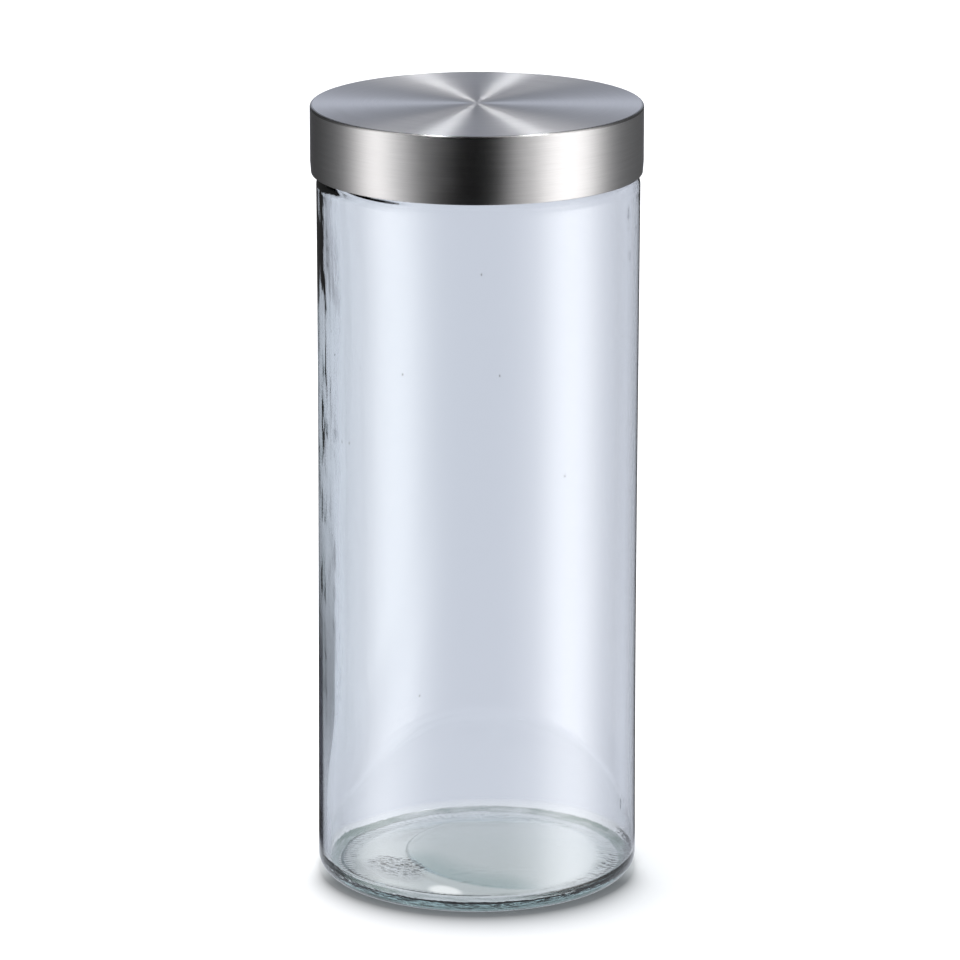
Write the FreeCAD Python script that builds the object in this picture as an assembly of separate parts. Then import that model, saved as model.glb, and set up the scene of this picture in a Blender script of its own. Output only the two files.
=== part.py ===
import FreeCAD, Part
import math
import os

# A clear glass storage jar with a brushed steel lid, in millimetres, +Z up. The origin is the
# centre of the ring that the jar stands on. The glass is blown, with a heavy base and a side
# wall that is thicker on one side. The lid is a thin steel shell that rests on the glass rim.

# Driving dimensions of the glass
glass_height = 263.4      # from the standing ring to the top of the rim
body_radius = 53.5        # outside of the side wall, just under the shoulder
body_taper = 0.4          # how much smaller the outside is at the heel
waist_depth = 0.4         # how far the side wall sinks in half way up
shoulder_radius = 4.2     # outside round of the shoulder
heel_radius = 6.3         # outside round between the side wall and the standing ring
ring_width = 2.4          # flat land that the jar stands on
push_up = 3.0             # rise of the hollow under the base
neck_height = 24.2        # from the shoulder to the top of the rim
neck_step = 5.3           # how far the neck stands inside the body
neck_fillet = 0.8         # hollow round where the neck leaves the shoulder
neck_wall = 3.2
rim_round = 1.0           # round on both corners of the rim

# Driving dimensions of the hollow in the glass
wall = 3.6                # mean thickness of the side wall
wall_shift = 2.0          # how far the hollow lies off the axis, towards +X
base_thickness = 6.5      # glass between the table and the inside floor, at the heel
floor_crown = 1.2         # rise of the inside floor at its centre
inner_heel_radius = 7.0
shoulder_wall = 3.0       # glass between the shoulder and the hollow
inner_shoulder_radius = 4.0

# Driving dimensions of the lid
lid_sheet = 0.6           # steel sheet
lid_overhang = 1.5        # how far the lid stands out past the body
lid_gap = 2.2             # clear height between the shoulder and the lid's lower edge
lid_edge_radius = 0.9     # outside bend between the top and the skirt
skirt_taper = 0.25        # how far the lid's lower edge is drawn in
skirt_taper_height = 4.0

# What follows from them
foot_radius = body_radius - body_taper
waist_radius = (body_radius + foot_radius) / 2 - waist_depth
neck_radius = body_radius - neck_step
bore_radius = neck_radius - neck_wall
shoulder_height = glass_height - neck_height
hollow_top = shoulder_height - shoulder_wall
lid_radius = body_radius + lid_overhang
lid_top = glass_height + lid_sheet
lid_bottom = shoulder_height + lid_gap


def point(radius, height):
    return FreeCAD.Vector(radius, 0, height)


def line(start, end):
    return Part.LineSegment(point(*start), point(*end)).toShape()


def arc(start, middle, end):
    return Part.Arc(point(*start), point(*middle), point(*end)).toShape()


def side_wall(start, middle, end):
    """The long, nearly straight side of the jar, as a smooth curve that sinks in a little."""
    curve = Part.BSplineCurve()
    curve.interpolate([point(*start), point(*middle), point(*end)])
    return curve.toShape()


def corner(centre, radius, start_deg, end_deg):
    """A round corner of an outline, between two directions seen from its centre."""
    def at(degrees):
        turn = math.radians(degrees)
        return (centre[0] + radius * math.cos(turn), centre[1] + radius * math.sin(turn))
    return arc(at(start_deg), at((start_deg + end_deg) / 2), at(end_deg))


def crown(rim_radius, rim_level, rise):
    """A shallow dome's outline, from its top on the axis out to its rim."""
    sphere_radius = (rim_radius ** 2 + rise ** 2) / (2 * rise)
    centre_level = rim_level + rise - sphere_radius
    half_way = rim_radius / 2
    half_level = centre_level + math.sqrt(sphere_radius ** 2 - half_way ** 2)
    return arc((0, rim_level + rise), (half_way, half_level), (rim_radius, rim_level))


def turned(outline):
    """The solid that an outline, closed along the axis, makes when it is turned about Z."""
    face = Part.Face(Part.Wire(outline))
    return face.revolve(FreeCAD.Vector(0, 0, 0), FreeCAD.Vector(0, 0, 1), 360)


def glass_blank():
    """The jar from outside, with the bore of its neck but no hollow in the body."""
    ring_outer = foot_radius - heel_radius
    ring_inner = ring_outer - ring_width
    wall_top = shoulder_height - shoulder_radius
    bore_bottom = hollow_top - inner_shoulder_radius
    root = neck_radius + neck_fillet
    rim_level = glass_height - rim_round
    return turned([
        crown(ring_inner, 0, push_up),
        line((ring_inner, 0), (ring_outer, 0)),
        corner((ring_outer, heel_radius), heel_radius, -90, 0),
        side_wall((foot_radius, heel_radius),
                  (waist_radius, (heel_radius + wall_top) / 2),
                  (body_radius, wall_top)),
        corner((body_radius - shoulder_radius, wall_top), shoulder_radius, 0, 90),
        line((body_radius - shoulder_radius, shoulder_height), (root, shoulder_height)),
        corner((root, shoulder_height + neck_fillet), neck_fillet, 270, 180),
        line((neck_radius, shoulder_height + neck_fillet), (neck_radius, rim_level)),
        corner((neck_radius - rim_round, rim_level), rim_round, 0, 90),
        line((neck_radius - rim_round, glass_height), (bore_radius + rim_round, glass_height)),
        corner((bore_radius + rim_round, rim_level), rim_round, 90, 180),
        line((bore_radius, rim_level), (bore_radius, bore_bottom)),
        line((bore_radius, bore_bottom), (0, bore_bottom)),
        line((0, bore_bottom), (0, push_up)),
    ])


def glass_hollow():
    """The space in the body, which follows the side wall and lies a little off the axis."""
    side_bottom = base_thickness + inner_heel_radius
    side_top = hollow_top - inner_shoulder_radius
    floor_radius = foot_radius - wall - inner_heel_radius
    top_radius = body_radius - wall - inner_shoulder_radius
    hollow = turned([
        crown(floor_radius, base_thickness, floor_crown),
        corner((floor_radius, side_bottom), inner_heel_radius, -90, 0),
        side_wall((foot_radius - wall, side_bottom),
                  (waist_radius - wall, (side_bottom + side_top) / 2),
                  (body_radius - wall, side_top)),
        corner((top_radius, side_top), inner_shoulder_radius, 0, 90),
        line((top_radius, hollow_top), (0, hollow_top)),
        line((0, hollow_top), (0, base_thickness + floor_crown)),
    ])
    hollow.translate(FreeCAD.Vector(wall_shift, 0, 0))
    return hollow


def steel_lid():
    """A flat-topped cap pressed from sheet, with a straight skirt and a rounded lower edge."""
    inner_radius = lid_radius - lid_sheet
    edge_round = lid_sheet / 2
    taper_start = lid_bottom + skirt_taper_height
    inner_bend = max(lid_edge_radius - lid_sheet, lid_sheet / 4)
    lip_radius = lid_radius - skirt_taper - edge_round
    lip_level = lid_bottom + edge_round
    return turned([
        line((0, lid_top), (lid_radius - lid_edge_radius, lid_top)),
        corner((lid_radius - lid_edge_radius, lid_top - lid_edge_radius), lid_edge_radius, 90, 0),
        line((lid_radius, lid_top - lid_edge_radius), (lid_radius, taper_start)),
        line((lid_radius, taper_start), (lip_radius + edge_round, lip_level)),
        corner((lip_radius, lip_level), edge_round, 0, -180),
        line((lip_radius - edge_round, lip_level), (inner_radius, taper_start)),
        line((inner_radius, taper_start), (inner_radius, glass_height - inner_bend)),
        corner((inner_radius - inner_bend, glass_height - inner_bend), inner_bend, 0, 90),
        line((inner_radius - inner_bend, glass_height), (0, glass_height)),
        line((0, glass_height), (0, lid_top)),
    ])


os.makedirs("parts", exist_ok=True)
parts = {
    "jar_glass": glass_blank().cut(glass_hollow()),
    "lid_shell": steel_lid(),
}
for name, shape in parts.items():
    shape.exportStep("parts/" + name + ".step")
    print(name, "solids", len(shape.Solids), "valid", shape.isValid(), "volume", round(shape.Volume))
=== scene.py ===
import math

import bpy
import bmesh
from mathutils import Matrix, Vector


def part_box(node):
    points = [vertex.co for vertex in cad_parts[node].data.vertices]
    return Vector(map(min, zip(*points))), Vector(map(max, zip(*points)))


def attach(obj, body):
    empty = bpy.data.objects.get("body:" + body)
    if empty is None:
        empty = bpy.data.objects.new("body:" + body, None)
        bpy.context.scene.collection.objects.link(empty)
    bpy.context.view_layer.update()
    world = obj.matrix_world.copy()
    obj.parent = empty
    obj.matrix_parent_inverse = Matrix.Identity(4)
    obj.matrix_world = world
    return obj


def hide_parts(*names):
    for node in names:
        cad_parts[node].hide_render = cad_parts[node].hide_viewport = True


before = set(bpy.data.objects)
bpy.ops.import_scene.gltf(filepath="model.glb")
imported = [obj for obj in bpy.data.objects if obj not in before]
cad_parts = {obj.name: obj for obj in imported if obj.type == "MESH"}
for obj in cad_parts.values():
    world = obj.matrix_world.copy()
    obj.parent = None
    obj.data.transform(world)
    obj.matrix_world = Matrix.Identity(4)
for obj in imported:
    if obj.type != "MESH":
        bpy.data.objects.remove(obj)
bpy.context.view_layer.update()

# ---------------------------------------------------------------------------------------------
# The glass, one blown piece of clear soda-lime glass, faintly green where it is thick. The
# mould shaped the outside, and the inside was left to settle, so that the wall is thick on one
# side, the floor holds an off-centre puddle, and both waver. Sizes are in millimetres.

MM = 0.001
_, glass_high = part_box("jar_glass")
body_radius = glass_high[0] / MM
rim_height = glass_high[2] / MM
foot_radius = body_radius + 0.28
waist_radius = body_radius - 0.15
neck_radius = body_radius - 5.3
bore_radius = neck_radius - 3.2
shoulder_height = rim_height - 22.6
shoulder_radius = 3.6
neck_fillet = 0.8
rim_round = 1.0
heel_radius = 6.3
ring_width = 2.4
push_up = 3.0
floor_level = 4.1
floor_crown = 2.8
inner_heel_radius = 3.9
thin_wall = 1.1
ceiling_drop = 0.9
ceiling_round = 2.0
inner_shoulder_radius = 2.6
knurl_count = 132
knurl_middle = 45.4
knurl_half_width = 3.6
knurl_bend = 0.028
puddle_radius = 39.5
puddle_offset = 15.0


def round_rows(centre, radius, start_deg, end_deg, steps):
    """Rows of an outline round a corner, as (radius, height) pairs, without the first one."""
    rows = []
    for step in range(1, steps + 1):
        turn = math.radians(start_deg + (end_deg - start_deg) * step / steps)
        rows.append((centre[0] + radius * math.cos(turn), centre[1] + radius * math.sin(turn)))
    return rows


def straight_rows(start, end, steps):
    """Rows of an outline along a straight stretch, without the first one."""
    rows = []
    for step in range(1, steps + 1):
        share = step / steps
        rows.append((start[0] + (end[0] - start[0]) * share, start[1] + (end[1] - start[1]) * share))
    return rows


def side_radius(height):
    """Outside radius of the side wall, which sinks in a little half way up."""
    low, high = heel_radius, shoulder_height - shoulder_radius
    share = (height - low) / (high - low)
    straight = foot_radius + (body_radius - foot_radius) * share
    sink = (body_radius + foot_radius) / 2 - waist_radius
    return straight - sink * 4 * share * (1 - share)


def crowned(radius, edge_radius, edge_height, crown):
    """Height of a shallow dome at one radius."""
    return edge_height + crown * (1 - (radius / edge_radius) ** 2)


def counted(rows, count):
    """The same rows with the number of vertices that goes round each."""
    return [(radius, height, count) for radius, height in rows]


def turned_rings(rows):
    """Vertices and faces of a shell turned about Z from rows of (radius, height, count)."""
    vertices = []
    faces = []
    rings = []
    for radius, height, count in rows:
        rings.append((len(vertices), count))
        for step in range(count):
            turn = 2 * math.pi * step / count
            vertices.append((radius * math.cos(turn), radius * math.sin(turn), height))
    for (first, first_count), (second, second_count) in zip(rings, rings[1:]):
        if first_count == second_count and first_count > 1:
            for step in range(first_count):
                after = (step + 1) % first_count
                faces.append((first + step, first + after, second + after, second + step))
            continue
        i = j = 0
        while i < first_count or j < second_count:
            if j >= second_count or (i < first_count and (i + 1) / first_count <= (j + 1) / second_count):
                if first_count > 1:
                    faces.append((first + i, first + (i + 1) % first_count, second + j % second_count))
                i += 1
            else:
                if second_count > 1:
                    faces.append((first + i % first_count, second + (j + 1) % second_count, second + j))
                j += 1
    return vertices, faces


def make_object(name, vertices, faces):
    """A smooth mesh object from vertices in millimetres, with its faces turned outwards."""
    mesh = bpy.data.meshes.new(name)
    mesh.from_pydata([tuple(value * MM for value in vertex) for vertex in vertices], [], faces)
    shell = bmesh.new()
    shell.from_mesh(mesh)
    bmesh.ops.recalc_face_normals(shell, faces=shell.faces)
    shell.to_mesh(mesh)
    shell.free()
    mesh.shade_smooth()
    piece = bpy.data.objects.new(name, mesh)
    bpy.context.scene.collection.objects.link(piece)
    return piece


# How many vertices go round the rows: most where the foot is knurled and where the floor ripples.
ring_count = knurl_count * 6
under_count = 192
under_centre_count = 48
wall_count = 320
neck_count = 256
floor_count = 448
floor_middle_count = 224
floor_centre_count = 56
under_steps = 22
floor_steps = 66

ring_outer = foot_radius - heel_radius
ring_inner = ring_outer - ring_width
wall_top = shoulder_height - shoulder_radius
ceiling = shoulder_height - ceiling_drop
inner_wall_top = ceiling - inner_shoulder_radius
inner_wall_bottom = floor_level + inner_heel_radius
inner_floor_radius = foot_radius - thin_wall - inner_heel_radius

outside = [(0.0, push_up, 1)]
for step in range(1, under_steps + 1):
    radius = ring_inner * step / under_steps
    count = under_centre_count if step < 5 else (under_count if step < 19 else ring_count)
    outside.append((radius, crowned(radius, ring_inner, 0.0, push_up), count))
outside += counted(straight_rows((ring_inner, 0), (ring_outer, 0), 5), ring_count)
heel_centre = (ring_outer, heel_radius)
outside += counted(round_rows(heel_centre, heel_radius, -90, -54, 6), ring_count)
outside += counted(round_rows(heel_centre, heel_radius, -54, 0, 8), wall_count)
for _, height in straight_rows((0, heel_radius), (0, wall_top), 36):
    outside.append((side_radius(height), height, wall_count))
shoulder_centre = (body_radius - shoulder_radius, wall_top)
outside += counted(round_rows(shoulder_centre, shoulder_radius, 0, 90, 9), neck_count)
fillet_centre = (neck_radius + neck_fillet, shoulder_height + neck_fillet)
outside.append((fillet_centre[0], shoulder_height, neck_count))
outside += counted(round_rows(fillet_centre, neck_fillet, 270, 180, 4), neck_count)
rim_low = rim_height - rim_round
outside += counted(straight_rows((neck_radius, fillet_centre[1]), (neck_radius, rim_low), 3), neck_count)
outside += counted(round_rows((neck_radius - rim_round, rim_low), rim_round, 0, 90, 4), neck_count)
outside.append((bore_radius + rim_round, rim_height, neck_count))
outside += counted(round_rows((bore_radius + rim_round, rim_low), rim_round, 90, 180, 4), neck_count)

inside = [(bore_radius, ceiling + ceiling_round, neck_count)]
bore_corner = (bore_radius + ceiling_round, ceiling + ceiling_round)
inside += counted(round_rows(bore_corner, ceiling_round, 180, 270, 4), neck_count)
inner_corner = (body_radius - thin_wall - inner_shoulder_radius, inner_wall_top)
inside += counted(round_rows(inner_corner, inner_shoulder_radius, 90, 0, 8), wall_count)
for _, height in straight_rows((0, inner_wall_top), (0, inner_wall_bottom), 104):
    inside.append((side_radius(height) - thin_wall, height, wall_count))
inner_heel = (inner_floor_radius, inner_wall_bottom)
inside += counted(round_rows(inner_heel, inner_heel_radius, 0, -90, 10), floor_count)
for step in range(1, floor_steps):
    radius = inner_floor_radius * (1 - step / floor_steps)
    count = floor_count if step < 40 else (floor_middle_count if step < 56 else floor_centre_count)
    inside.append((radius, crowned(radius, inner_floor_radius, floor_level, floor_crown), count))
inside.append((0.0, floor_level + floor_crown, 1))

vertices, faces = turned_rings(outside + inside)
glass = make_object("jar_glass_blown", vertices, faces)
inner_face = glass.data.attributes.new("inner_face", "FLOAT", "POINT")
inner_start = sum(count for _, _, count in outside)
inner_face.data.foreach_set("value", [float(index >= inner_start) for index in range(len(vertices))])


def add_node(tree, kind, inputs=None, **settings):
    """Adds a node, sets its options, and gives each named input a value or a link."""
    node = tree.nodes.new(kind)
    for name, value in settings.items():
        setattr(node, name, value)
    for key, value in (inputs or {}).items():
        if isinstance(value, bpy.types.NodeSocket):
            tree.links.new(value, node.inputs[key])
        else:
            node.inputs[key].default_value = value
    return node


def tree_of(*values):
    """The node tree of the first socket among some numbers and sockets."""
    return next(value.id_data for value in values if isinstance(value, bpy.types.NodeSocket))


def reckon(operation, *values):
    """A Math node's result from numbers and sockets."""
    return add_node(tree_of(*values), "ShaderNodeMath", dict(enumerate(values)),
                    operation=operation).outputs[0]


def product(first, *others):
    for other in others:
        first = reckon("MULTIPLY", first, other)
    return first


def total(first, *others):
    for other in others:
        first = reckon("ADD", first, other)
    return first


def less(first, second):
    return reckon("SUBTRACT", first, second)


def scaled(vector, factor):
    """A vector times a number."""
    return add_node(tree_of(vector), "ShaderNodeVectorMath", {0: vector, "Scale": factor},
                    operation="SCALE").outputs[0]


def joined(x, y, z=0.0):
    """A vector or a colour from three numbers or sockets."""
    return add_node(tree_of(x, y, z), "ShaderNodeCombineXYZ", {0: x, 1: y, 2: z}).outputs[0]


def smooth_step(value, low, high):
    """Rises smoothly from 0 at low to 1 at high, or falls where high is the smaller."""
    return add_node(tree_of(value), "ShaderNodeMapRange", {
        "Value": value, "From Min": low, "From Max": high}, interpolation_type="SMOOTHSTEP").outputs[0]


def noise(place, scale, detail=2.0, roughness=0.5):
    """Noise between about -0.5 and 0.5."""
    texture = add_node(tree_of(place), "ShaderNodeTexNoise", {
        "Vector": place, "Scale": scale, "Detail": detail, "Roughness": roughness})
    return less(texture.outputs[0], 0.5)


def stretched(place, x, y, z):
    """A place scaled by a different number along each axis."""
    return add_node(tree_of(place), "ShaderNodeVectorMath", {0: place, 1: (x, y, z)},
                    operation="MULTIPLY").outputs[0]


def patch(x, y, centre, turn_deg, half_length, half_width):
    """1 in the middle of a turned oval and 0 outside it."""
    turn = math.radians(turn_deg)
    right = less(x, centre[0])
    ahead = less(y, centre[1])
    along = total(product(right, math.cos(turn)), product(ahead, math.sin(turn)))
    across = less(product(ahead, math.cos(turn)), product(right, math.sin(turn)))
    share_along = reckon("DIVIDE", reckon("ABSOLUTE", along), half_length)
    share_across = reckon("DIVIDE", reckon("ABSOLUTE", across), half_width)
    far = reckon("SQRT", total(reckon("POWER", share_along, 2.0), reckon("POWER", share_across, 2.0)))
    return smooth_step(far, 1.0, 0.55)


def measured(position):
    """A position in millimetres: the vector, X, Y, Z, and the distance from and turn about Z."""
    place = scaled(position, 1 / MM)
    x, y, z = add_node(tree_of(place), "ShaderNodeSeparateXYZ", {0: place}).outputs
    reach = reckon("SQRT", total(product(x, x), product(y, y)))
    return place, x, y, z, reach, reckon("ARCTAN2", y, x)


def knurl_wave(reach, turn, count):
    """The curved teeth of the knurls, as a wave between -1 and 1."""
    share = reckon("DIVIDE", less(reach, knurl_middle), knurl_half_width)
    bend = product(reckon("POWER", share, 2.0), knurl_bend)
    return reckon("COSINE", product(total(turn, bend), count))


settled = bpy.data.node_groups.new("settled_glass", "GeometryNodeTree")
settled.interface.new_socket("Geometry", in_out="INPUT", socket_type="NodeSocketGeometry")
settled_sizes = {}
for name, value in (
        ("Thick Side", 4.3), ("Thin Lean", 0.45), ("Wander", 0.55), ("Cord Depth", 0.07),
        ("Puddle Radius", puddle_radius), ("Puddle Offset", puddle_offset), ("Puddle Step", 0.42),
        ("Lip Height", 0.07), ("Ripple Depth", 0.75), ("Knurl Count", float(knurl_count)),
        ("Knurl Depth", 0.14), ("Seed Size", 0.22)):
    size_input = settled.interface.new_socket(name, in_out="INPUT", socket_type="NodeSocketFloat")
    size_input.default_value = value
    settled_sizes[size_input.identifier] = value
settled.interface.new_socket("Geometry", in_out="OUTPUT", socket_type="NodeSocketGeometry")
size = settled.nodes.new("NodeGroupInput").outputs

place, x, y, z, reach, turn = measured(settled.nodes.new("GeometryNodeInputPosition").outputs[0])
reach = reckon("MAXIMUM", reach, 0.01)
inner = add_node(settled, "GeometryNodeInputNamedAttribute", {0: "inner_face"}, data_type="FLOAT").outputs[0]

# The wall on the inside: thick towards -X, thinning to the shoulder and to the foot, wavering.
leftness = product(less(1.0, reckon("DIVIDE", x, reach)), 0.5)
thick_side = reckon("POWER", leftness, 1.15)
foot_side = smooth_step(leftness, 0.55, 0.95)
taper = smooth_step(z, total(product(foot_side, 14.0), 8.0), total(product(foot_side, -86.0), 150.0))
above_foot = total(product(taper, 0.62), 0.38)
below_shoulder = less(1.0, product(smooth_step(z, 190.0, 239.0), 0.36))
along_wall = product(smooth_step(reach, 30.0, 47.2), below_shoulder, above_foot)
slow = noise(stretched(place, 0.035, 0.035, 0.028), 1.0, 1.0)
quick_waves = noise(stretched(place, 0.10, 0.10, 0.14), 1.0, 1.0)
cords = noise(stretched(place, 0.34, 0.34, 0.02), 1.0, 1.0)
wander = product(total(slow, product(quick_waves, 0.35)), size["Wander"], reckon("POWER", leftness, 10.0))
cord_share = total(product(reckon("POWER", leftness, 3.0), 0.9), 0.1)
cord_depth = product(cords, size["Cord Depth"], cord_share)
inward = product(total(product(thick_side, size["Thick Side"]), wander, cord_depth), along_wall)

# Near the top the glass keeps clear of the bore, however thick the side is.
ceiling_start = bore_radius + ceiling_round
room_at_bore = total(less(reach, ceiling_start + 0.2), product(smooth_step(z, 200.0, 180.0), 50.0))
inward = add_node(settled, "ShaderNodeMath", {0: inward, 1: room_at_bore, 2: 0.8},
                  operation="SMOOTH_MIN").outputs[0]
inward = product(inward, inner, smooth_step(reach, ceiling_start, ceiling_start + 0.3))
wall_move = reckon("DIVIDE", product(inward, -1.0), reach)

# The floor on the inside: a puddle with a rounded lip, wrinkles beside it and finer ones in it.
on_floor = product(smooth_step(z, 9.5, 7.2), inner)
puddle_x = less(x, size["Puddle Offset"])
puddle_reach = reckon("SQRT", total(product(puddle_x, puddle_x), product(y, y)))
within = less(size["Puddle Radius"], puddle_reach)
step_up = product(smooth_step(within, -0.9, 2.3), size["Puddle Step"])
lip_share = reckon("DIVIDE", less(within, 1.0), 1.2)
lip = product(reckon("EXPONENT", product(lip_share, lip_share, -1.0)), size["Lip Height"])
lower_in_front = total(product(smooth_step(y, -34.0, -16.0), 0.5), 0.5)
puddle = product(total(step_up, lip), smooth_step(reach, 46.4, 43.0), smooth_step(y, 32.0, 8.0),
                 lower_in_front)
wrinkles = noise(stretched(place, 0.55, 0.85, 0.1), 1.0, 2.0, 0.6)
fine_wrinkles = noise(stretched(place, 0.20, 0.55, 0.1), 1.0, 1.0)
wrinkle_patch = patch(x, y, (-27.5, -16.0), -48.0, 16.0, 7.5)
front_patch = patch(x, y, (3.0, -25.0), 0.0, 20.0, 8.0)
side_patch = patch(x, y, (43.0, -7.0), 90.0, 9.0, 3.5)
ripples = product(size["Ripple Depth"], total(
    product(wrinkles, wrinkle_patch), product(fine_wrinkles, front_patch, 0.30),
    product(wrinkles, side_patch, 0.8)))
floor_rise = product(total(puddle, ripples), on_floor)

# The foot: fine crescent knurls pressed into the standing ring, deepest towards -X.
on_ring = product(smooth_step(reach, 43.4, 44.2), smooth_step(reach, 48.4, 47.2),
                  smooth_step(z, 1.6, 0.9), less(1.0, inner))
knurl_share = total(0.25, product(smooth_step(x, 25.0, 0.0), 0.75))
teeth = total(product(knurl_wave(reach, turn, size["Knurl Count"]), 0.5), 0.5)
knurl = product(teeth, size["Knurl Depth"], on_ring, knurl_share)

# Under the shoulder the inside sags a little on the thick side, and the thin side leans out.
ceiling_drip = product(smooth_step(z, 238.2, 239.4), smooth_step(z, 242.5, 240.5), inner,
                       smooth_step(leftness, 0.60, 0.92), -1.2)
lean = product(smooth_step(z, 20.0, 225.0), size["Thin Lean"])
move = scaled(joined(total(product(x, wall_move), lean), product(y, wall_move),
                     total(floor_rise, knurl, ceiling_drip)), MM)
shaped = add_node(settled, "GeometryNodeSetPosition", {"Geometry": size["Geometry"], "Offset": move})

# Seeds: a few small air bubbles, drawn out upwards, closed inside the wall.
seed_depth = 1.25
seed_count = 14
seed_points = add_node(settled, "GeometryNodePoints", {"Count": seed_count})
seed_turn = add_node(settled, "FunctionNodeRandomValue", {
    "Min": 0.0, "Max": 2 * math.pi, "Seed": 5}, data_type="FLOAT").outputs[1]
seed_height = add_node(settled, "FunctionNodeRandomValue", {
    "Min": 20.0, "Max": 228.0, "Seed": 11}, data_type="FLOAT").outputs[1]
seed_reach = (body_radius - seed_depth) * MM
seed_place = joined(product(reckon("COSINE", seed_turn), seed_reach),
                    product(reckon("SINE", seed_turn), seed_reach), product(seed_height, MM))
placed = add_node(settled, "GeometryNodeSetPosition", {
    "Geometry": seed_points.outputs[0], "Position": seed_place})
bubble = add_node(settled, "GeometryNodeMeshIcoSphere", {"Radius": MM, "Subdivisions": 2})
seeds = add_node(settled, "GeometryNodeInstanceOnPoints", {
    "Points": placed.outputs[0], "Instance": bubble.outputs[0],
    "Scale": joined(size["Seed Size"], size["Seed Size"], product(size["Seed Size"], 1.9))})
real_seeds = add_node(settled, "GeometryNodeRealizeInstances", {"Geometry": seeds.outputs[0]})
turned_in = add_node(settled, "GeometryNodeFlipFaces", {"Mesh": real_seeds.outputs[0]})
whole = settled.nodes.new("GeometryNodeJoinGeometry")
settled.links.new(turned_in.outputs[0], whole.inputs[0])
settled.links.new(shaped.outputs[0], whole.inputs[0])
smooth = add_node(settled, "GeometryNodeSetShadeSmooth", {"Geometry": whole.outputs[0], "Shade Smooth": True})
clear_glass = bpy.data.materials.new("clear_glass")
coated = add_node(settled, "GeometryNodeSetMaterial", {
    "Geometry": smooth.outputs[0], "Material": clear_glass})
add_node(settled, "NodeGroupOutput", {"Geometry": coated.outputs[0]})


def settle(piece, tree, sizes):
    """Runs a Geometry Nodes tree on a piece and keeps the result as its plain mesh."""
    modifier = piece.modifiers.new(tree.name, "NODES")
    modifier.node_group = tree
    for identifier, value in sizes.items():
        modifier[identifier] = value
    finished = piece.evaluated_get(bpy.context.evaluated_depsgraph_get())
    piece_mesh = bpy.data.meshes.new_from_object(finished)
    piece.modifiers.clear()
    piece.data = piece_mesh


settle(glass, settled, settled_sizes)


def empty_tree(owner):
    """The node tree of a material or a world, with nothing in it."""
    owner.use_nodes = True
    owner.node_tree.nodes.clear()
    return owner.node_tree


def blend_colour(share, first, second):
    """A colour on the way from the first to the second."""
    return add_node(tree_of(share), "ShaderNodeMix", {0: share, 6: first, 7: second},
                    data_type="RGBA").outputs[2]


tree = empty_tree(clear_glass)
place, x, y, z, reach, turn = measured(add_node(tree, "ShaderNodeTexCoord").outputs["Object"])
on_floor = product(smooth_step(z, 3.4, 3.9), smooth_step(z, 8.6, 8.0))

# Inside, the puddle is a little darker and greener, most at its front left: the green of its thicker glass
# with painted shade of the table under it, and a thin painted dark rim.
puddle_x = less(x, puddle_offset)
puddle_reach = reckon("SQRT", total(product(puddle_x, puddle_x), product(y, y)))
painted_puddle_shade = product(smooth_step(puddle_reach, 40.2, 38.6), smooth_step(reach, 46.6, 42.0), on_floor)
green_edge_and_shade = product(painted_puddle_shade, smooth_step(puddle_reach, 22.0, 37.0),
                     patch(x, y, (-8.0, -30.0), -38.0, 40.0, 24.0))
tone = blend_colour(painted_puddle_shade, (1.0, 1.0, 1.0, 1.0), (0.90, 0.92, 0.92, 1.0))
tone = blend_colour(green_edge_and_shade, tone, (0.48, 0.60, 0.60, 1.0))
# Painted shade: a thin dark line along the left of the puddle's rim.
painted_puddle_rim = product(smooth_step(puddle_reach, 38.6, 39.2), smooth_step(puddle_reach, 40.0, 39.4),
                     smooth_step(y, 36.0, 24.0), smooth_step(x, 8.0, -8.0),
                     smooth_step(y, -36.0, -12.0), on_floor, 0.8)
tone = blend_colour(painted_puddle_rim, tone, (0.22, 0.27, 0.27, 1.0))

# Crinkles beside the puddle, which run with its edge, painted dark along their strokes as painted shade, and
# painted dark ticks where the knurls of the foot show through the floor.
along = total(product(x, 0.62), product(y, -0.78))
across = total(product(x, 0.78), product(y, 0.62))
crinkled = noise(joined(product(along, 0.34), product(across, 0.85)), 1.0, 2.0)
crinkle_place = product(patch(x, y, (-27.0, -18.0), -48.0, 15.5, 8.0), on_floor)
# Painted shade in the strokes of the crinkles.
painted_crinkle_shade = product(smooth_step(crinkled, 0.02, 0.07), crinkle_place, 0.95)
tone = blend_colour(painted_crinkle_shade, tone, (0.10, 0.13, 0.125, 1.0))
# Painted shade: dark ticks on the floor where the knurls of the foot show through, towards -X.
knurl_teeth = smooth_step(knurl_wave(reach, turn, float(knurl_count)), 0.35, 0.8)
painted_knurl_ticks = product(knurl_teeth, smooth_step(z, 6.2, 5.2), smooth_step(z, 3.4, 3.9),
                    smooth_step(reach, 44.7, 45.0), smooth_step(reach, 46.6, 46.3),
                    smooth_step(x, 2.0, -16.0), 0.85)
tone = blend_colour(painted_knurl_ticks, tone, (0.12, 0.15, 0.155, 1.0))

# Small dark flaws in the outside of the side wall: turn, height, half width and height, darkness.
flaws = ((-22.9, 230.0, 1.5, 5.0, 0.50), (-13.6, 224.0, 1.2, 2.2, 0.45), (-21.4, 217.0, 1.2, 2.4, 0.45),
         (-26.2, 29.5, 0.9, 2.6, 0.75), (-152.0, 157.4, 2.0, 4.0, 0.50))
ragged = smooth_step(noise(stretched(place, 0.7, 0.7, 0.35), 1.0, 1.0), -0.12, 0.08)
on_side = smooth_step(reach, body_radius - 1.0, body_radius - 0.6)
for flaw_turn, flaw_height, half_width, half_height, darkness in flaws:
    aside = less(product(turn, body_radius), math.radians(flaw_turn) * body_radius)
    oval = patch(aside, z, (0.0, flaw_height), 0.0, half_width, half_height)
    flaw = product(oval, ragged, on_side, darkness)
    tone = blend_colour(flaw, tone, (0.16, 0.17, 0.19, 1.0))
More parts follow.
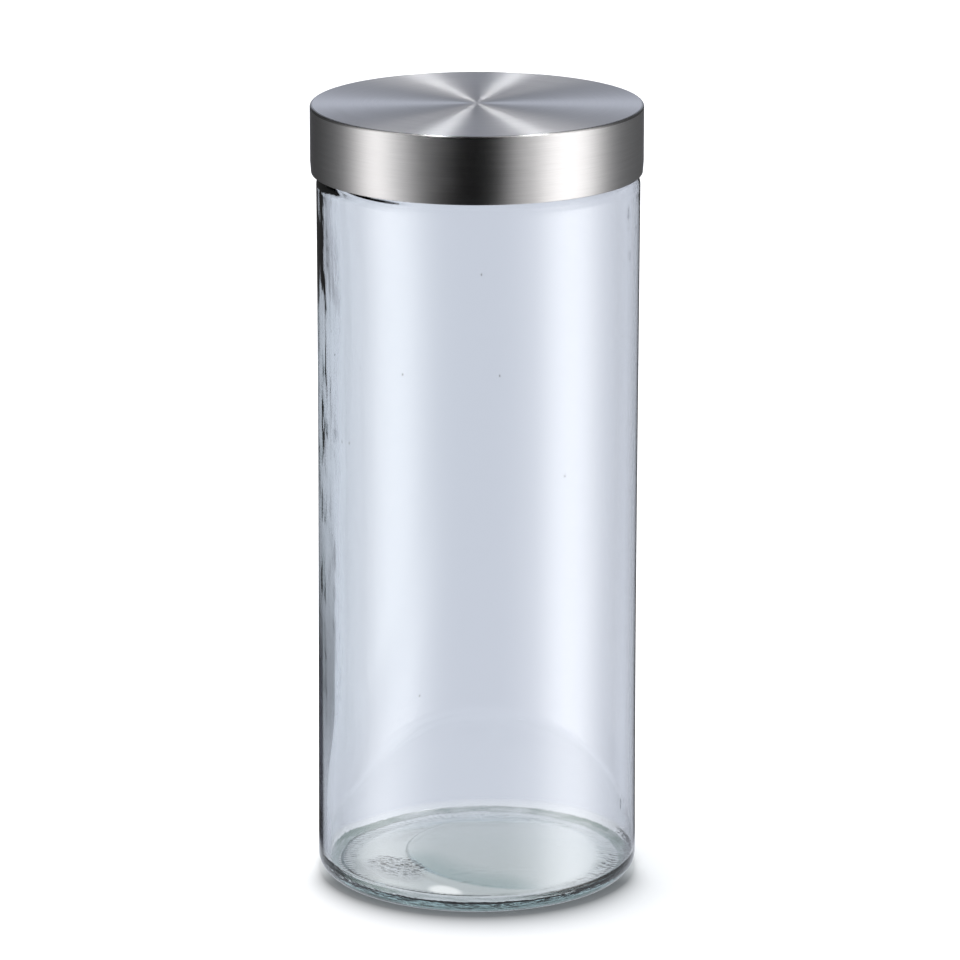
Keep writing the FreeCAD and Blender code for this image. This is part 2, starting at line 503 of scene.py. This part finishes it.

# Painted shade on the outer skin: dark in the heel, and dark where it turns away from the eye, most on the
# thick side.
past_ring = reckon("MAXIMUM", less(reach, ring_outer), 0.0)
under_heel = reckon("MAXIMUM", less(heel_radius, z), 0.0)
from_heel_centre = reckon("SQRT", total(product(past_ring, past_ring), product(under_heel, under_heel)))
on_outside = smooth_step(from_heel_centre, 5.5, 5.9)
# Painted shade in the heel, streaky, darker to both sides and past the knurls.
heel_shade_streaks = total(0.68, product(noise(stretched(place, 0.12, 0.12, 0.5), 1.0, 2.0), 1.1),
                     product(smooth_step(x, 14.0, 34.0), 0.30), product(smooth_step(x, -16.0, -40.0), 0.36))
past_knurls = total(0.6, product(smooth_step(reach, 46.9, 48.3), 0.4))
painted_heel_shade = product(on_outside, smooth_step(z, 3.9, 2.9), heel_shade_streaks, past_knurls)
tone = blend_colour(painted_heel_shade, tone, (0.10, 0.145, 0.122, 1.0))
# Painted shade: a dark outline where the outer skin turns away from the eye, broader on the thick side.
facing = add_node(tree, "ShaderNodeLayerWeight", {"Blend": 0.5}).outputs["Facing"]
leftness = product(less(1.0, reckon("DIVIDE", x, reckon("MAXIMUM", reach, 1.0))), 0.5)
thick_side = smooth_step(leftness, 0.75, 0.90)
near_foot = smooth_step(z, 64.0, 28.0)
thick_facing = total(facing, product(near_foot, -0.115))
painted_thick_outline = product(smooth_step(thick_facing, 0.573, 0.59), thick_side,
                    total(0.75, product(near_foot, -0.37)))
painted_thin_outline = smooth_step(total(facing, product(thick_side, 0.115)), 0.81, 0.92)
painted_outline_shade = product(reckon("MAXIMUM", painted_thin_outline, painted_thick_outline), on_outside)
tone = blend_colour(painted_outline_shade, tone, (0.01, 0.01, 0.014, 1.0))

# Low relief: a wavy wall, mould marks in the heel and the crinkles on the floor.
wavy = product(noise(stretched(place, 0.5, 0.5, 0.16), 1.0, 1.0), 0.05, smooth_step(z, 8.0, 24.0))
mould_marks = product(noise(stretched(place, 0.30, 0.30, 0.9), 1.0, 1.0), 0.55, on_outside,
                      smooth_step(z, 8.0, 4.5))
uneven = add_node(tree, "ShaderNodeBump", {
    "Strength": 0.25, "Distance": MM,
    "Height": total(wavy, mould_marks, product(crinkled, crinkle_place, 2.4))})
haze = product(on_outside, smooth_step(z, 5.6, 4.0), 0.12)
surface = add_node(tree, "ShaderNodeBsdfPrincipled", {
    "Base Color": tone, "Metallic": 0.0, "Roughness": haze, "IOR": 1.52,
    "Transmission Weight": 1.0, "Normal": uneven.outputs[0]})
lamp_light = add_node(tree, "ShaderNodeBsdfTransparent", {"Color": (0.80, 0.83, 0.84, 1.0)})
path = add_node(tree, "ShaderNodeLightPath")
both = add_node(tree, "ShaderNodeMixShader", {
    0: path.outputs["Is Shadow Ray"], 1: surface.outputs[0], 2: lamp_light.outputs[0]})
tint = add_node(tree, "ShaderNodeVolumeAbsorption", {"Color": (0.2, 0.71, 0.66, 1.0), "Density": 5.5})
add_node(tree, "ShaderNodeOutputMaterial", {"Surface": both.outputs[0], "Volume": tint.outputs[0]})

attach(glass, "root")
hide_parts("jar_glass")

# ---------------------------------------------------------------------------------------------
# The lid. A cap pressed from thin stainless steel sheet, its flat top brushed in circles and
# its skirt brushed along. It rests on the glass rim and stands out a little past the body.

lid_low, lid_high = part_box("lid_shell")
lid_radius = lid_high[0] / MM
lid_top = lid_high[2] / MM
lid_bottom = lid_low[2] / MM
lid_sheet = 0.6
lid_edge_radius = 0.9
inner_edge_radius = 0.3
skirt_taper = 0.25
skirt_taper_height = 4.0
lid_segments = 360

edge_centre = (lid_radius - lid_edge_radius, lid_top - lid_edge_radius)
lip_radius = lid_sheet / 2
lip_centre = (lid_radius - skirt_taper - lip_radius, lid_bottom + lip_radius)
inner_skirt = lid_radius - lid_sheet
taper_top = lid_bottom + skirt_taper_height
inner_edge_centre = (inner_skirt - inner_edge_radius, rim_height - inner_edge_radius)
top_radii = (6, 14, 22, 30, 38, 46, 51, edge_centre[0] - 0.15, edge_centre[0])
lid_rows = [(radius, lid_top) for radius in top_radii]
lid_rows += round_rows(edge_centre, lid_edge_radius, 90, 0, 8)
lid_rows += straight_rows((lid_radius, lid_top - 1.1), (lid_radius, taper_top), 5)
lid_rows.append((lid_radius - skirt_taper, lip_centre[1]))
lid_rows += round_rows(lip_centre, lip_radius, 0, -180, 8)
lid_rows += straight_rows((inner_skirt, taper_top), (inner_skirt, rim_height - 0.4), 3)
lid_rows += round_rows(inner_edge_centre, inner_edge_radius, 0, 90, 3)
lid_rows += [(40.0, rim_height), (20.0, rim_height)]
vertices, faces = turned_rings(
    [(0.0, lid_top, 1)] + counted(lid_rows, lid_segments) + [(0.0, rim_height, 1)])
lid = make_object("lid_brushed", vertices, faces)

brushing = bpy.data.node_groups.new("brushing", "ShaderNodeTree")
for name in ("Across", "Along", "Turn"):
    brushing.interface.new_socket(name, in_out="INPUT", socket_type="NodeSocketFloat")
for name in ("Lines", "Bands"):
    brushing.interface.new_socket(name, in_out="OUTPUT", socket_type="NodeSocketFloat")
given = brushing.nodes.new("NodeGroupInput").outputs
long_way = product(given["Turn"], given["Along"])
add_node(brushing, "NodeGroupOutput", {
    "Lines": noise(joined(product(given["Across"], 7.0), long_way), 1.0, 3.0, 0.7),
    "Bands": noise(joined(given["Across"], long_way, 4.0), 0.8, 2.0)})

brushed_steel = bpy.data.materials.new("brushed_steel")
tree = empty_tree(brushed_steel)
place, x, y, z, reach, turn = measured(add_node(tree, "ShaderNodeTexCoord").outputs["Object"])


def brushed(across, along):
    """Fine lines and broad bands of brushing, from how far across and how long they run."""
    return add_node(tree, "ShaderNodeGroup", {"Across": across, "Along": along, "Turn": turn},
                    node_tree=brushing).outputs


on_top = smooth_step(z, lid_top - 0.6, lid_top - 0.2)
top_brush = brushed(reach, product(reckon("MINIMUM", reach, 30.0), 0.05))
skirt_brush = brushed(z, 3.2)


def chosen(name):
    """The brushing of the top on the top and of the skirt elsewhere."""
    return add_node(tree, "ShaderNodeMix", {0: on_top, 2: skirt_brush[name], 3: top_brush[name]}).outputs[0]


lines = chosen("Lines")
bands = chosen("Bands")
outer_part = smooth_step(total(reach, product(on_top, -1000.0), 1000.0), 0.0, 50.0)
light = total(0.62, product(outer_part, 0.10), product(lines, 0.24), product(bands, 0.14))
on_edge = product(smooth_step(reach, lid_radius - 0.95, lid_radius - 0.75),
                  smooth_step(z, lid_top - 1.0, lid_top - 0.8))
# Painted shade: the rounded top edge is darker towards the left and right sides.
sideways = reckon("DIVIDE", reckon("ABSOLUTE", x), reckon("MAXIMUM", reach, 1.0))
light = product(light, less(1.0, product(on_edge, smooth_step(sideways, 0.45, 0.95), 0.62)))
metal = joined(light, product(light, 0.995), product(light, 1.01))
smoothness = total(0.37, product(bands, 0.10), product(lines, 0.08), product(on_edge, -0.10))
scored = add_node(tree, "ShaderNodeBump", {"Strength": 0.10, "Distance": 0.02 * MM, "Height": lines})
round_axis = add_node(tree, "ShaderNodeTangent", direction_type="RADIAL", axis="Z")
surface = add_node(tree, "ShaderNodeBsdfPrincipled", {
    "Base Color": metal, "Metallic": 1.0, "Roughness": smoothness, "Anisotropic": 1.0,
    "Anisotropic Rotation": 0.25, "Tangent": round_axis.outputs[0], "Normal": scored.outputs[0]})
add_node(tree, "ShaderNodeOutputMaterial", {"Surface": surface.outputs[0]})
lid.data.materials.append(brushed_steel)

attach(lid, "root")
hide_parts("lid_shell")

# ---------------------------------------------------------------------------------------------
# The studio. A pale table and a white surround for the camera. Glass and steel mirror a dim
# lavender room with a soft light each side, low and high, and a dark camera side.

scene = bpy.context.scene
scene.view_settings.view_transform = "Standard"

world = bpy.data.worlds.new("studio")
scene.world = world
tree = empty_tree(world)
towards = add_node(tree, "ShaderNodeTexCoord").outputs["Generated"]
across, ahead, above = add_node(tree, "ShaderNodeSeparateXYZ", {0: towards}).outputs
azimuth = reckon("DEGREES", reckon("ARCTAN2", across, product(ahead, -1.0)))
height = reckon("DEGREES", reckon("ARCSINE", above))
side = reckon("ABSOLUTE", azimuth)


def levels_round(position, levels):
    """A grey level that runs smoothly through (azimuth, level) pairs from -180 to 180."""
    ramp = add_node(tree_of(position), "ShaderNodeValToRGB", {0: position})
    ramp.color_ramp.interpolation = "B_SPLINE"
    stops = ramp.color_ramp.elements
    while len(stops) > 1:
        stops.remove(stops[-1])
    for number, (turn_deg, level) in enumerate(levels):
        where = (turn_deg + 180.0) / 360.0
        stop = stops[0] if number == 0 else stops.new(where)
        stop.position = where
        warmth = 0.02 * min(max((level - 0.35) / 0.4, -1.0), 1.0)
        stop.color = (level * (1.0 + warmth) / 2, level / 2, level * (1.0 - warmth * 1.2) / 2, 1.0)
    return scaled(ramp.outputs[0], 2.0)


def glow_at(centre, half_width, low, high, fade, strength):
    """A soft upright light at one azimuth, between two heights."""
    away = reckon("DIVIDE", less(azimuth, centre), half_width)
    bell = reckon("EXPONENT", product(away, away, -0.69))
    return product(bell, smooth_step(height, low - fade, low + fade),
                   smooth_step(height, high + fade, high - fade), strength)


room_levels = (
    (-180, 0.05), (-140, 0.06), (-120, 0.15), (-105, 0.24), (-93, 0.58), (-81, 1.22), (-71, 1.16),
    (-61, 0.50), (-52, 0.32), (-43, 0.12), (-34, 0.02), (-26, 0.00), (-17, 0.00), (9, 0.00), (16, 0.02),
    (24, 0.20), (33, 0.55), (41, 0.42), (50, 1.05), (60, 1.38), (80, 1.34), (91, 0.78), (103, 0.33),
    (118, 0.19), (136, 0.15), (180, 0.05))
round_room = add_node(tree, "ShaderNodeMapRange", {
    "Value": azimuth, "From Min": -180.0, "From Max": 180.0}).outputs[0]
room = levels_round(round_room, room_levels)
lights = total(glow_at(-68.0, 21.0, -24.0, -7.0, 4.0, 1.6), glow_at(70.0, 22.0, -24.0, -7.0, 4.0, 1.75),
               glow_at(-89.0, 22.0, 72.0, 78.0, 2.5, 22.0), glow_at(89.0, 16.0, 65.0, 71.0, 2.5, 17.0))
path = add_node(tree, "ShaderNodeLightPath").outputs
through = path["Is Transmission Ray"]
seen_in_pieces = blend_colour(through, room, (0.22, 0.23, 0.26, 1.0))
seen_in_pieces = add_node(tree, "ShaderNodeVectorMath", {
    0: seen_in_pieces, 1: joined(lights, lights, lights)}, operation="ADD").outputs[0]

# The lavender back of the room: broad where the glass shows it, narrow where a surface mirrors it.
backdrop_edge = add_node(tree, "ShaderNodeMix", {0: through, 2: 158.0, 3: 122.0}).outputs[0]
back_through = product(through, smooth_step(height, -48.0, -30.0))
back_mirrored = product(smooth_step(height, -4.0, 8.0),
                        less(0.88, product(smooth_step(height, 26.0, 44.0), 0.40)))
behind = product(smooth_step(side, backdrop_edge, reckon("ADD", backdrop_edge, 10.0)),
                 reckon("MAXIMUM", back_through, back_mirrored))
seen_in_pieces = blend_colour(behind, seen_in_pieces, (0.66, 0.70, 0.80, 1.0))
ambient = blend_colour(path["Is Camera Ray"], (0.55, 0.56, 0.60, 1.0), (1.0, 1.0, 1.0, 1.0))
sky = blend_colour(reckon("MAXIMUM", path["Is Glossy Ray"], through), ambient, seen_in_pieces)
background = add_node(tree, "ShaderNodeBackground", {"Color": sky, "Strength": 1.0})
add_node(tree, "ShaderNodeOutputWorld", {"Surface": background.outputs[0]})


def disc(name, radius, height):
    """A flat disc round the Z axis, in metres."""
    bpy.ops.mesh.primitive_circle_add(vertices=96, radius=radius, fill_type="NGON")
    round_piece = bpy.context.object
    round_piece.name = name
    for vertex in round_piece.data.vertices:
        vertex.co.z = height
    return round_piece


def distance_and_axes(tree):
    """How far a point of a disc is from its middle, across and ahead, in metres."""
    place = add_node(tree, "ShaderNodeTexCoord").outputs["Object"]
    distance = add_node(tree, "ShaderNodeVectorMath", {0: place}, operation="LENGTH").outputs["Value"]
    across, ahead, _ = add_node(tree, "ShaderNodeSeparateXYZ", {0: place}).outputs
    return distance, across, ahead


# The table, white, with a painted shadow where the jar stands, deeper in front.
shade_radius = 0.0535
table = disc("table", 3.0, 0.0)
white_table = bpy.data.materials.new("white_table")
tree = empty_tree(white_table)
distance, across, ahead = distance_and_axes(tree)
# Painted shadow round the foot, fading outwards, deeper and longer in front.
frontness = reckon("DIVIDE", ahead, reckon("MAXIMUM", distance, 0.001))
frontness = reckon("MAXIMUM", product(frontness, -1.0), 0.0)
fade_length = total(0.0015, product(frontness, 0.0085))
out_from_foot = reckon("MAXIMUM", less(distance, shade_radius), 0.0)
contact = reckon("EXPONENT", product(reckon("DIVIDE", out_from_foot, fade_length), -1.0))
shade = product(contact, total(0.32, product(smooth_step(frontness, 0.0, 0.4), 0.43)))
matt_tone = blend_colour(shade, (0.8, 0.8, 0.8, 1.0), (0.0, 0.0, 0.0, 1.0))
glow_tone = blend_colour(shade, (1.0, 1.0, 1.0, 1.0), (0.0, 0.01, 0.03, 1.0))
matt = add_node(tree, "ShaderNodeBsdfDiffuse", {"Color": matt_tone})
glow_strength = total(0.30, product(smooth_step(distance, 0.5, 1.6), 0.4))
glow = add_node(tree, "ShaderNodeEmission", {"Color": glow_tone, "Strength": glow_strength})
lit = add_node(tree, "ShaderNodeAddShader", {0: matt.outputs[0], 1: glow.outputs[0]})
clear = add_node(tree, "ShaderNodeBsdfTransparent")
path = add_node(tree, "ShaderNodeLightPath").outputs
by_piece = reckon("MAXIMUM", path["Is Glossy Ray"], path["Is Transmission Ray"])
seen = add_node(tree, "ShaderNodeMixShader", {0: by_piece, 1: lit.outputs[0], 2: clear.outputs[0]})
add_node(tree, "ShaderNodeOutputMaterial", {"Surface": seen.outputs[0]})
table.data.materials.append(white_table)

# A disc just under the foot, hidden from the camera, that glows with painted light and shade of the table as
# it shows through the floor of the jar.
under_foot = disc("table_under_foot", 0.074, -0.0004)
painted_table_light = bpy.data.materials.new("painted_table_light")
tree = empty_tree(painted_table_light)
distance, across, ahead = distance_and_axes(tree)
# Painted light and shade: darker towards -X in the middle, paler towards +X and further out.
painted_table_tone = blend_colour(
    smooth_step(across, 0.008, 0.036), (0.50, 0.54, 0.545, 1.0), (0.66, 0.70, 0.73, 1.0))
painted_table_tone = blend_colour(smooth_step(distance, 0.039, 0.048), painted_table_tone, (0.76, 0.80, 0.87, 1.0))
# Painted reflection: a white patch at the front left.
painted_reflection_patch = patch(across, ahead, (-0.0105, -0.0345), -60.0, 0.0095, 0.0058)
painted_table_tone = blend_colour(painted_reflection_patch, painted_table_tone, (0.96, 0.98, 0.98, 1.0))
# Painted shade: a grey patch at the left front.
painted_shade_patch = patch(across, ahead, (-0.029, -0.013), -45.0, 0.017, 0.010)
painted_table_tone = blend_colour(painted_shade_patch, painted_table_tone, (0.38, 0.41, 0.425, 1.0))
pale = add_node(tree, "ShaderNodeEmission", {"Color": painted_table_tone, "Strength": 1.0})
clear = add_node(tree, "ShaderNodeBsdfTransparent")
fading = add_node(tree, "ShaderNodeMixShader", {
    0: smooth_step(distance, 0.058, 0.073), 1: pale.outputs[0], 2: clear.outputs[0]})
add_node(tree, "ShaderNodeOutputMaterial", {"Surface": fading.outputs[0]})
under_foot.data.materials.append(painted_table_light)
under_foot.visible_camera = False
under_foot.visible_diffuse = False
under_foot.visible_shadow = False

overhead = bpy.data.lights.new("overhead", "AREA")
overhead.shape = "RECTANGLE"
overhead.size = 1.6
overhead.size_y = 1.2
overhead.energy = 28.0
overhead_lamp = bpy.data.objects.new("overhead", overhead)
overhead_lamp.location = (-0.3, 0.2, 1.6)
overhead_lamp.rotation_euler = (math.radians(-7.0), math.radians(-10.0), 0.0)
overhead_lamp.visible_glossy = False
overhead_lamp.visible_transmission = False
scene.collection.objects.link(overhead_lamp)

camera_pitch_deg = 15.06
camera_data = bpy.data.cameras.new("camera")
camera_data.lens = 208.9
camera_data.sensor_width = 36.0
camera_data.shift_x = 0.0032
camera_data.clip_end = 20.0
camera = bpy.data.objects.new("camera", camera_data)
camera.location = (0.0, -1.8, 0.62)
camera.rotation_euler = (math.radians(90 - camera_pitch_deg), 0.0, 0.0)
scene.collection.objects.link(camera)
scene.camera = camera
